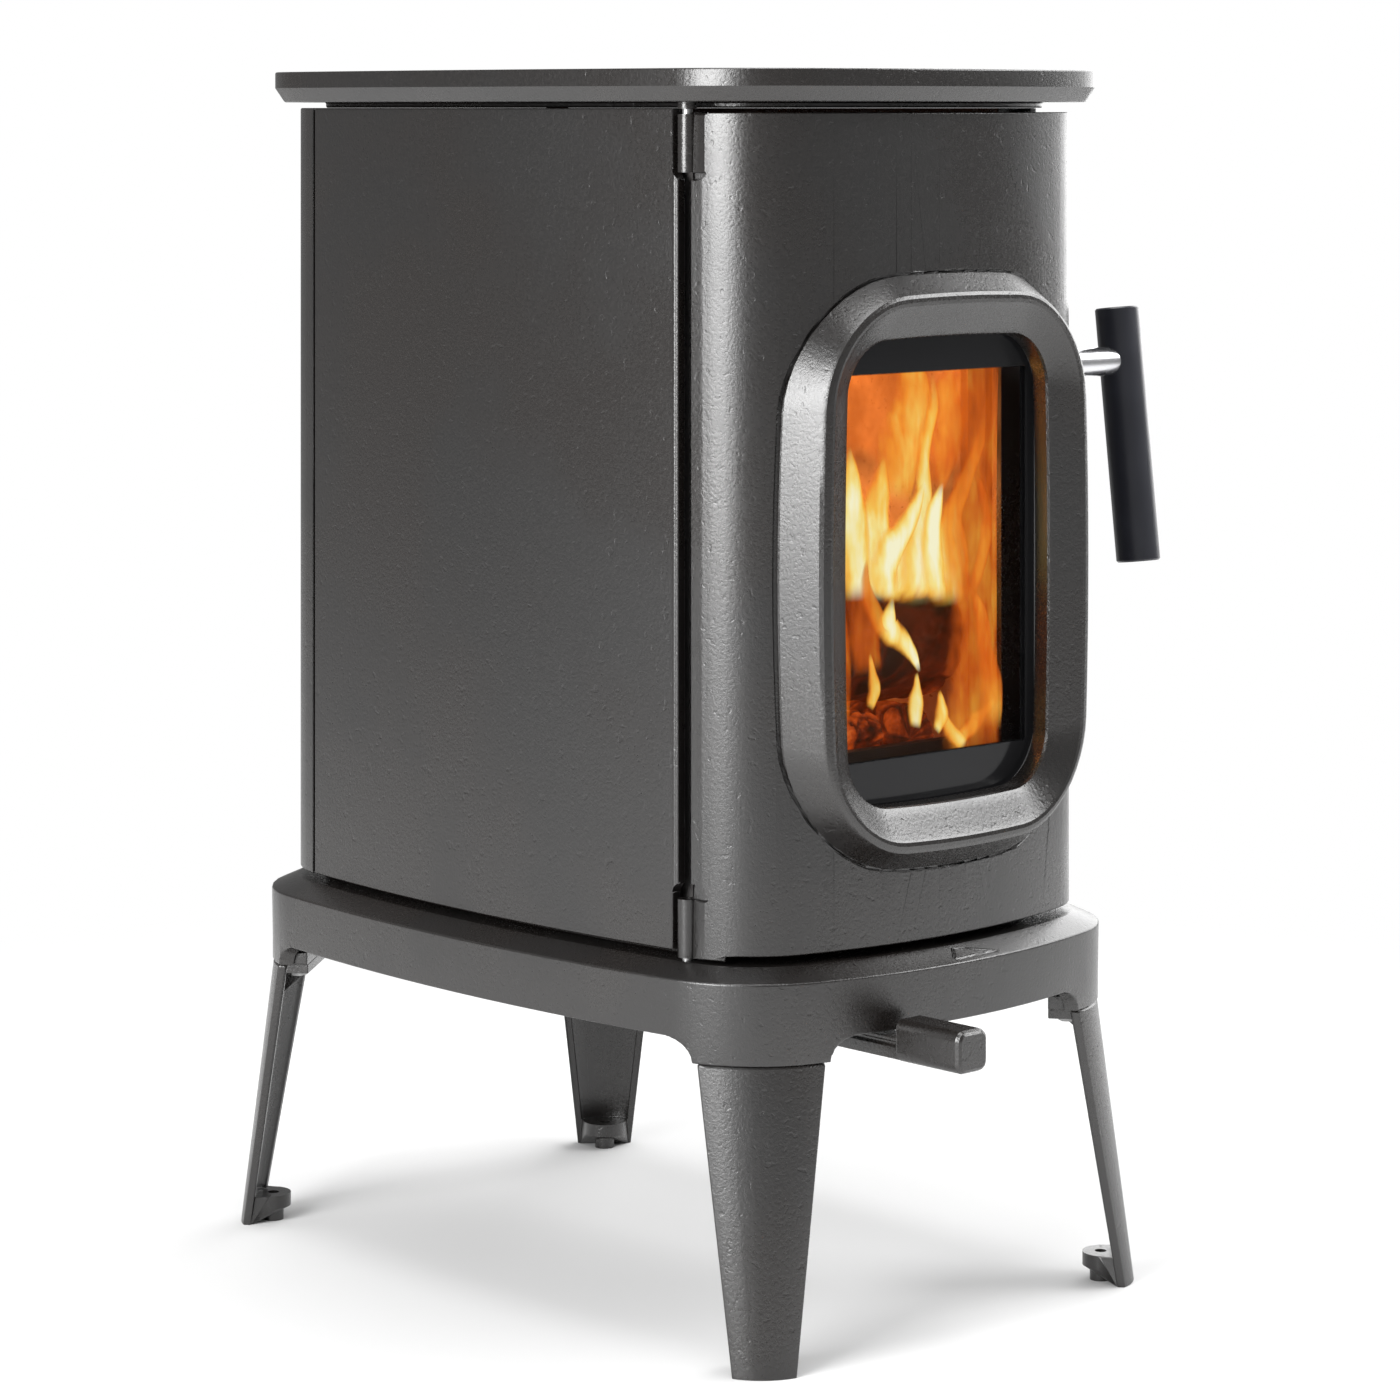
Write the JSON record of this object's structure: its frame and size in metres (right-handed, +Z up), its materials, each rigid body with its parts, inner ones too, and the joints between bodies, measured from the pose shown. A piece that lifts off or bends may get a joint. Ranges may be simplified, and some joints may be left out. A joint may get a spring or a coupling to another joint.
{
  "type": "cast iron wood stove",
  "caption": "Small cast iron wood stove with bowed sides, a curved door with a raised window surround, a hanging black handle, splayed legs and a sliding air lever.",
  "frame": {"origin": "on the floor, at the centre of the four foot holes", "axes": "+Z up, -Y out of the door, +X towards the handle side"},
  "size_m": [0.3965, 0.5761, 0.728],
  "materials": {
    "cast_iron": "matt stove paint over fine cast grain",
    "raw_iron": "bare, darkened by heat",
    "steel": "plain",
    "bright_steel": "turned and bright",
    "fire_brick": "dry pressed board",
    "rope": "braided glass fibre",
    "glass": "clear ceramic glass with a dark border",
    "grip": "smooth black coating",
    "charred_wood": "split logs, charred black, glowing in the cracks",
    "flame": "thin, see-through and glowing"
  },
  "bodies": {
    "stove": {"base": "cast_iron", "leg_front_left": "cast_iron", "leg_front_right": "cast_iron", "leg_rear_left": "cast_iron", "leg_rear_right": "cast_iron", "leg_bolts": "steel", "side_panel_left": "cast_iron", "side_panel_right": "cast_iron", "rear_panel": "cast_iron", "front_frame": "raw_iron", "panel_screws": "steel", "top_plate": "cast_iron", "flue_lid": "cast_iron", "lid_clamp": "steel", "flue_collar": "cast_iron", "collar_screws": "steel", "hinge_pin_top": "steel", "hinge_pin_bottom": "steel", "latch_keeper": "steel", "hearth_plate": "raw_iron", "grate": "raw_iron", "log_guard": "raw_iron", "side_brick_left": "fire_brick", "side_brick_right": "fire_brick", "rear_brick": "fire_brick", "baffle": "fire_brick", "ash_pan": "steel"},
    "door_leaf": {"door": "cast_iron", "window_surround": "cast_iron", "window_glass": "glass", "glass_seal": "rope", "glass_clips": "steel", "clip_screws": "steel", "door_rope": "rope"},
    "handle": {"handle_stem": "bright_steel", "handle_grip": "grip", "handle_screw": "steel", "latch_finger": "steel"},
    "air_control": {"air_slide": "steel", "air_lever": "cast_iron"}
  },
  "joints": [
    {"name": "door_hinge", "type": "hinge", "parent": "stove", "child": "door_leaf", "pos_m": [-0.146, -0.1695, 0.227], "axis": [0, 0, -1], "range_deg": [0, 110]},
    {"name": "handle_turn", "type": "hinge", "parent": "door_leaf", "child": "handle", "pos_m": [0.14914, -0.1845, 0.549], "axis": [-1, 0, 0], "range_deg": [0, 60]},
    {"name": "air_slide", "type": "slide", "parent": "stove", "child": "air_control", "axis": [1, 0, 0], "range_m": [0, 0.044]}
  ]
}
